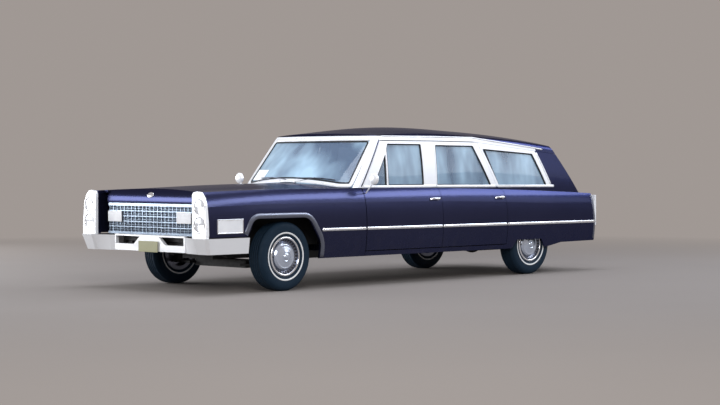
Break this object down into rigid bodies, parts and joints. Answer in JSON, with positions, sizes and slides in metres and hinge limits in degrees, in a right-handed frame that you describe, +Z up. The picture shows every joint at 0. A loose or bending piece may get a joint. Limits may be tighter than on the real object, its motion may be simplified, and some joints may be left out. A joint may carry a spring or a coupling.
{
  "type": "hearse",
  "caption": "Long dark funeral car with stacked twin headlamps, wide bright grille, side windows all round, side doors, a side-hinged tail door and a roller deck.",
  "frame": {"origin": "on the ground, in the middle of the overall length and width", "axes": "+X forward towards the grille, +Y to the car's left, +Z up"},
  "size_m": [6.334, 2.264, 1.7148],
  "materials": {
    "black_paint": "deep gloss",
    "bright_trim": "polished",
    "clear_glass": "clear, lightly tinted",
    "lamp_lens": "fluted clear",
    "red_lens": "glossy",
    "tyre_rubber": "satin",
    "wheel_metal": "polished",
    "chassis_black": "satin",
    "cast_metal": "rough",
    "bare_steel": "dull",
    "upholstery": "matte",
    "carpet": "matte",
    "padded_trim": "satin",
    "deck_wood": "varnished",
    "roller_rubber": "matte"
  },
  "bodies": {
    "body": {"roof": "black_paint", "windshield_frame": "black_paint", "body_side_left": "black_paint", "body_side_right": "black_paint", "cowl": "black_paint", "tail_sill": "black_paint", "center_pillars": "black_paint", "fender_left": "black_paint", "fender_right": "black_paint", "quarter_glass": "clear_glass", "windshield": "clear_glass", "grille": "bright_trim", "headlamp_bezels": "bright_trim", "front_bumper": "bright_trim", "rear_bumper": "bright_trim", "headlamps": "lamp_lens", "turn_lamps": "lamp_lens", "cornering_lamps": "lamp_lens", "tail_lamps": "red_lens", "frame": "chassis_black", "engine_bay_panels": "chassis_black", "front_suspension": "chassis_black", "rear_axle": "chassis_black", "driveshaft": "chassis_black", "fuel_tank": "chassis_black", "floor": "carpet", "partition": "carpet", "casket_deck": "deck_wood", "deck_rollers": "roller_rubber", "engine": "cast_metal", "exhaust": "bare_steel", "dashboard": "padded_trim", "steering_column": "padded_trim", "front_seat": "upholstery"},
    "front_door_left": {"front_door_left": "black_paint", "front_door_glass_left": "clear_glass", "mirror_left": "bright_trim"},
    "front_door_right": {"front_door_right": "black_paint", "front_door_glass_right": "clear_glass", "mirror_right": "bright_trim"},
    "rear_door_left": {"rear_door_left": "black_paint", "rear_door_glass_left": "clear_glass"},
    "rear_door_right": {"rear_door_right": "black_paint", "rear_door_glass_right": "clear_glass"},
    "tail_door": {"tail_door": "black_paint", "tail_glass": "clear_glass"},
    "hood": {"hood": "black_paint"},
    "knuckle_left": {"knuckle_left": "chassis_black"},
    "knuckle_right": {"knuckle_right": "chassis_black"},
    "wheel_front_left": {"front_tyre_left": "tyre_rubber", "front_wheel_left": "wheel_metal"},
    "wheel_front_right": {"front_tyre_right": "tyre_rubber", "front_wheel_right": "wheel_metal"},
    "wheel_rear_left": {"rear_tyre_left": "tyre_rubber", "rear_wheel_left": "wheel_metal"},
    "wheel_rear_right": {"rear_tyre_right": "tyre_rubber", "rear_wheel_right": "wheel_metal"},
    "steering_wheel": {"steering_wheel": "padded_trim"}
  },
  "joints": [
    {"name": "front_door_left_hinge", "type": "hinge", "parent": "body", "child": "front_door_left", "pos_m": [0.88, 0.985, 0.7], "axis": [0, 0, -1], "range_deg": [0, 65]},
    {"name": "front_door_right_hinge", "type": "hinge", "parent": "body", "child": "front_door_right", "pos_m": [0.88, -0.985, 0.7], "axis": [0, 0, 1], "range_deg": [0, 65]},
    {"name": "rear_door_left_hinge", "type": "hinge", "parent": "body", "child": "rear_door_left", "pos_m": [-0.332, 0.985, 0.7], "axis": [0, 0, -1], "range_deg": [0, 65]},
    {"name": "rear_door_right_hinge", "type": "hinge", "parent": "body", "child": "rear_door_right", "pos_m": [-0.332, -0.985, 0.7], "axis": [0, 0, 1], "range_deg": [0, 65]},
    {"name": "tail_door_hinge", "type": "hinge", "parent": "body", "child": "tail_door", "pos_m": [-3.05, 0.652, 0.9], "axis": [0, 0, -1], "range_deg": [0, 95]},
    {"name": "hood_hinge", "type": "hinge", "parent": "body", "child": "hood", "pos_m": [1.13, 0, 1.07], "axis": [0, -1, 0], "range_deg": [0, 55]},
    {"name": "steer_left", "type": "hinge", "parent": "body", "child": "knuckle_left", "pos_m": [2.041, 0.77, 0.352], "axis": [0, 0, 1], "range_deg": [-32, 32]},
    {"name": "steer_right", "type": "hinge", "parent": "body", "child": "knuckle_right", "pos_m": [2.041, -0.77, 0.352], "axis": [0, 0, 1], "range_deg": [-32, 32]},
    {"name": "steering_wheel_turn", "type": "hinge", "parent": "body", "child": "steering_wheel", "pos_m": [0.62, 0.4, 0.94], "axis": [-0.9, 0, 0.436], "range_deg": [-512, 512]},
    {"name": "front_left_spin", "type": "hinge", "parent": "knuckle_left", "child": "wheel_front_left", "pos_m": [2.041, 0.84, 0.352], "axis": [0, 1, 0], "continuous": true},
    {"name": "front_right_spin", "type": "hinge", "parent": "knuckle_right", "child": "wheel_front_right", "pos_m": [2.041, -0.84, 0.352], "axis": [0, 1, 0], "continuous": true},
    {"name": "rear_left_spin", "type": "hinge", "parent": "body", "child": "wheel_rear_left", "pos_m": [-1.921, 0.815, 0.352], "axis": [0, 1, 0], "continuous": true},
    {"name": "rear_right_spin", "type": "hinge", "parent": "body", "child": "wheel_rear_right", "pos_m": [-1.921, -0.815, 0.352], "axis": [0, 1, 0], "continuous": true}
  ],
  "couplings": [
    {"joint": "steer_right", "follows": "steer_left", "ratio": 1},
    {"joint": "steering_wheel_turn", "follows": "steer_left", "ratio": 16}
  ]
}
